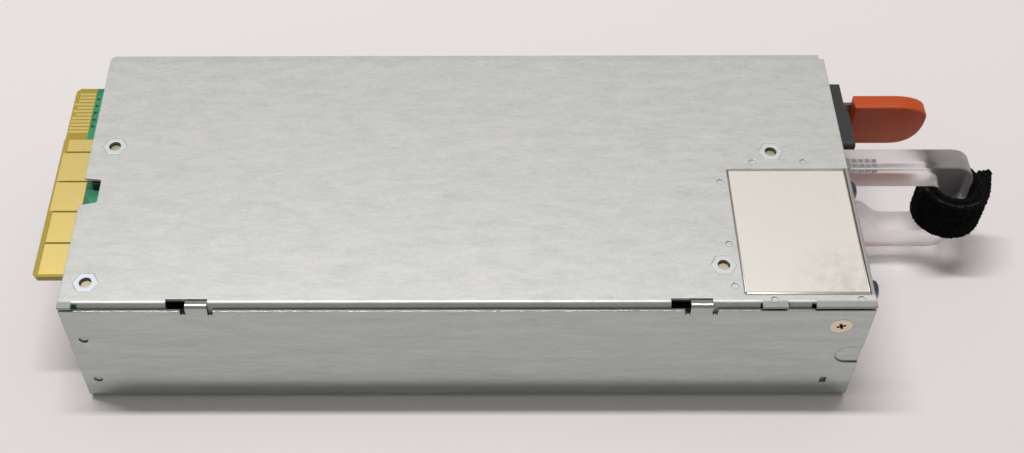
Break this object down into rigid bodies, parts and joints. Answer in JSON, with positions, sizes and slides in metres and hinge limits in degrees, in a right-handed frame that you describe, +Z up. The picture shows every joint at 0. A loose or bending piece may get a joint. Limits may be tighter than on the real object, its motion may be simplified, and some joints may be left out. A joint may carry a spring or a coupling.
{
  "type": "hot swap server power supply",
  "caption": "Slim galvanised power supply that slides into a server bay, with a card-edge tongue at the rear and a clear handle loop, latch tab, inlet and fan at the front.",
  "frame": {"origin": "centre of the case's underside, the bare face of the cover that it rests on", "axes": "+X runs along the case to the handle end, Y runs across it, +Z is up through the tray"},
  "size_m": [0.2488, 0.0875, 0.04],
  "materials": {
    "board_screws": "zinc plated",
    "boost_choke_core": "powder iron",
    "boost_choke_winding": "enamelled copper",
    "boost_heatsink": "extruded",
    "boost_switches": "moulded",
    "bridge_rectifier": "moulded",
    "bridge_switches": "moulded",
    "bulk_capacitors": "sleeved can",
    "clinch_standoffs": "zinc plated",
    "control_board": "green solder mask",
    "control_chips": "moulded",
    "cover": "galvanised, fine grain",
    "cover_screws": "zinc plated",
    "faceplate": "galvanised, dull",
    "fan_bay_plate": "bright tin plate",
    "fan_bearing_tube": "turned",
    "fan_circuit": "circuit board",
    "fan_frame": "moulded",
    "fan_magnet_ring": "bonded ferrite",
    "fan_rotor": "moulded",
    "fan_screws": "black zinc",
    "fan_shaft": "ground",
    "fan_sleeve_bearing": "sintered",
    "fan_stator": "laminations",
    "filter_choke_cores": "ferrite",
    "filter_choke_windings": "enamelled copper",
    "fuse": "ceramic",
    "handle": "clear, moulded",
    "handle_screws": "zinc plated",
    "inlet_blades": "nickel plated",
    "inlet_body": "moulded",
    "inrush_thermistor": "dipped disc",
    "insulating_sheet": "thin black film",
    "latch_arm": "spring steel",
    "latch_foot": "spring steel",
    "latch_hook": "plain",
    "latch_rivets": "plain",
    "latch_tab": "moulded terracotta",
    "main_board": "green solder mask",
    "main_transformer_coil": "taped winding",
    "main_transformer_core": "ferrite",
    "output_busbars": "tinned copper",
    "output_capacitors": "polymer can",
    "output_heatsink": "extruded",
    "output_rectifiers": "moulded",
    "power_pads": "gold plated",
    "primary_heatsink": "extruded",
    "rear_panel": "galvanised, dull",
    "relay": "sealed case",
    "resonant_choke_coil": "enamelled copper",
    "resonant_choke_core": "ferrite",
    "signal_fingers": "gold plated",
    "standby_transformer_coil": "taped winding",
    "standby_transformer_core": "ferrite",
    "status_light": "clear emitter",
    "strap": "hook and loop",
    "tray": "galvanised, dull",
    "x_capacitors": "cast case",
    "y_capacitors": "dipped"
  },
  "bodies": {
    "case": {"board_screws": "board_screws", "boost_choke_core": "boost_choke_core", "boost_choke_winding": "boost_choke_winding", "boost_heatsink": "boost_heatsink", "boost_switches": "boost_switches", "bridge_rectifier": "bridge_rectifier", "bridge_switches": "bridge_switches", "bulk_capacitors": "bulk_capacitors", "clinch_standoffs": "clinch_standoffs", "control_board": "control_board", "control_chips": "control_chips", "cover": "cover", "cover_screws": "cover_screws", "faceplate": "faceplate", "fan_bay_plate": "fan_bay_plate", "fan_bearing_tube": "fan_bearing_tube", "fan_circuit": "fan_circuit", "fan_frame": "fan_frame", "fan_screws": "fan_screws", "fan_sleeve_bearing": "fan_sleeve_bearing", "fan_stator": "fan_stator", "filter_choke_cores": "filter_choke_cores", "filter_choke_windings": "filter_choke_windings", "fuse": "fuse", "handle": "handle", "handle_screws": "handle_screws", "inlet_blades": "inlet_blades", "inlet_body": "inlet_body", "inrush_thermistor": "inrush_thermistor", "insulating_sheet": "insulating_sheet", "latch_foot": "latch_foot", "latch_rivets": "latch_rivets", "main_board": "main_board", "main_transformer_coil": "main_transformer_coil", "main_transformer_core": "main_transformer_core", "output_busbars": "output_busbars", "output_capacitors": "output_capacitors", "output_heatsink": "output_heatsink", "output_rectifiers": "output_rectifiers", "power_pads": "power_pads", "primary_heatsink": "primary_heatsink", "rear_panel": "rear_panel", "relay": "relay", "resonant_choke_coil": "resonant_choke_coil", "resonant_choke_core": "resonant_choke_core", "signal_fingers": "signal_fingers", "standby_transformer_coil": "standby_transformer_coil", "standby_transformer_core": "standby_transformer_core", "status_light": "status_light", "tray": "tray", "x_capacitors": "x_capacitors", "y_capacitors": "y_capacitors"},
    "rotor": {"fan_rotor": "fan_rotor", "fan_shaft": "fan_shaft", "fan_magnet_ring": "fan_magnet_ring"},
    "latch": {"latch_arm": "latch_arm", "latch_hook": "latch_hook", "latch_tab": "latch_tab"},
    "strap": {"strap": "strap"}
  },
  "joints": [
    {"name": "fan_spin", "type": "hinge", "parent": "case", "child": "rotor", "pos_m": [0.0822, -0.01915, 0.0198], "axis": [1, 0, 0], "continuous": true},
    {"name": "latch_press", "type": "hinge", "parent": "case", "child": "latch", "pos_m": [0.036, 0.04, 0.02], "axis": [0, 0, -1], "range_deg": [0, 2], "stiffness_Nm_per_rad": 20},
    {"name": "strap_turn", "type": "hinge", "parent": "case", "child": "strap", "pos_m": [0.1305, 0.0076, 0.02], "axis": [0, 0, 1], "continuous": true}
  ]
}
